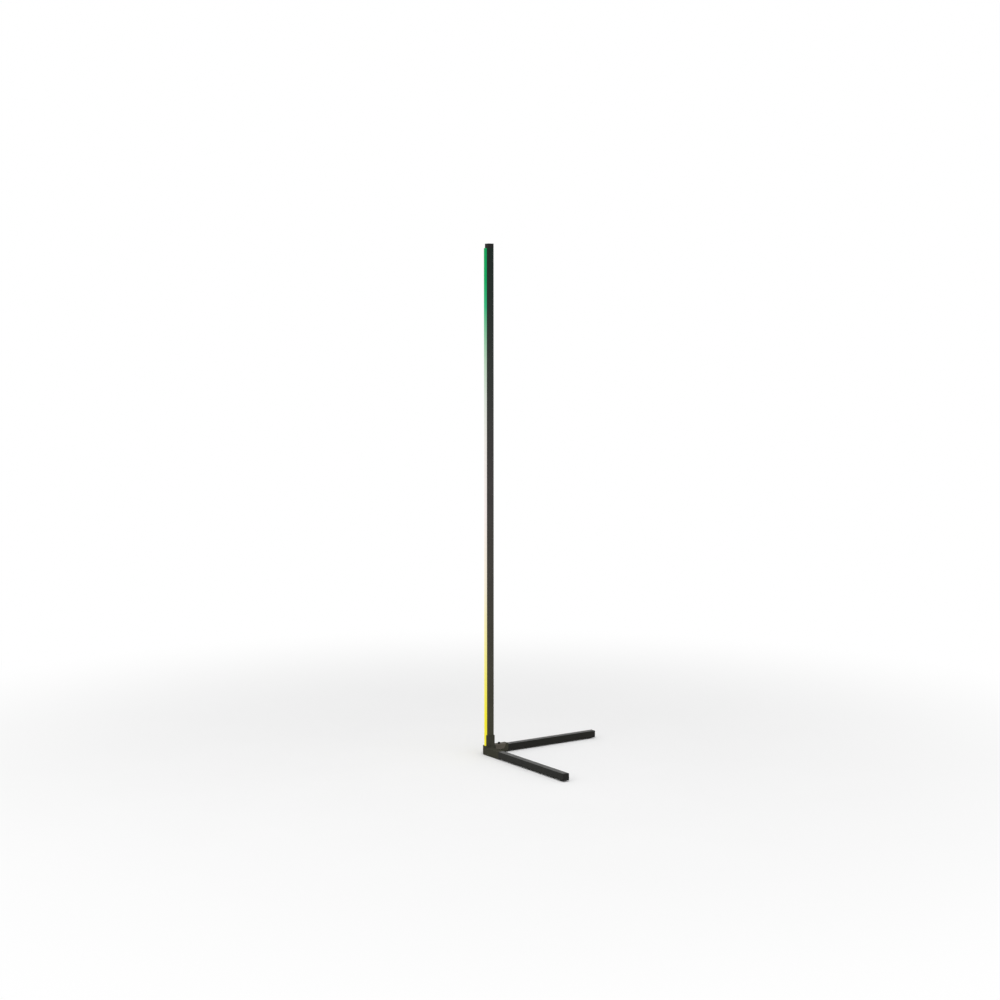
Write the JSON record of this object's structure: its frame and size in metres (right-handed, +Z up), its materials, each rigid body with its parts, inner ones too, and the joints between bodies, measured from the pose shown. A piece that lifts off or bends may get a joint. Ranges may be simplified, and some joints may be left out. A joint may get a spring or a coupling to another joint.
{
  "type": "corner floor lamp",
  "caption": "Slim square pole lamp for a room corner, with a glowing strip along its corner side and a V foot whose rear leg folds beside the front one.",
  "frame": {"origin": "on the floor, under the axis of the pole, on the underside of the block's pad", "axes": "+Z up along the pole, +X along the front leg, +Y along the rear leg; the room's corner lies towards -X and -Y"},
  "size_m": [0.3927, 0.3842, 1.42],
  "materials": {
    "block_black": "satin powder coat",
    "leg_black": "satin powder coat",
    "pole_black": "dark anodised",
    "link_grey": "satin",
    "screw_black": "black oxide",
    "screw_steel": "bright zinc",
    "rubber_black": "matte",
    "cap_black": "fine texture",
    "nylon_white": "smooth",
    "cover_milky": "translucent, lit from inside",
    "strip_white": "solder mask",
    "chip_yellow": "phosphor",
    "board_green": "solder mask",
    "parts_black": "moulded",
    "inlet_black": "moulded",
    "contact_brass": "plated",
    "joiner_silver": "mill finish",
    "lead_red": "insulation",
    "lead_white": "insulation"
  },
  "bodies": {
    "stand": {"corner_block": "block_black", "base_cover": "block_black", "base_cover_screws": "screw_steel", "base_pad": "rubber_black", "collar_screws": "screw_black", "hinge_link": "link_grey", "link_cross_screw": "screw_black", "front_leg_tube": "leg_black", "front_leg_screws": "screw_steel", "front_leg_cap": "cap_black", "front_leg_foot": "rubber_black", "pole_section_1": "pole_black", "pole_section_2": "pole_black", "pole_section_3": "pole_black", "pole_section_4": "pole_black", "pole_joiner_1": "joiner_silver", "pole_joiner_2": "joiner_silver", "pole_joiner_3": "joiner_silver", "joiner_screws": "screw_black", "top_cap": "cap_black", "strip_cover": "cover_milky", "light_strip": "strip_white", "light_chips": "chip_yellow", "controller_board": "board_green", "controller_parts": "parts_black", "inlet_socket": "inlet_black", "inlet_contact": "contact_brass", "inlet_nut": "screw_steel", "power_leads": "lead_red", "strip_leads": "lead_white"},
    "rear_leg": {"rear_leg_fitting": "block_black", "rear_leg_tube": "leg_black", "rear_leg_screws": "screw_steel", "rear_leg_cap": "cap_black", "rear_leg_foot": "rubber_black", "hinge_foot": "rubber_black", "hinge_bolt": "screw_black", "spring_washer": "screw_black", "nylon_washer": "nylon_white"}
  },
  "joints": [
    {"name": "rear_leg_fold", "type": "hinge", "parent": "stand", "child": "rear_leg", "pos_m": [-0.00672, 0.0365, 0], "axis": [0, 0, 1], "range_deg": [-90, 0]}
  ]
}
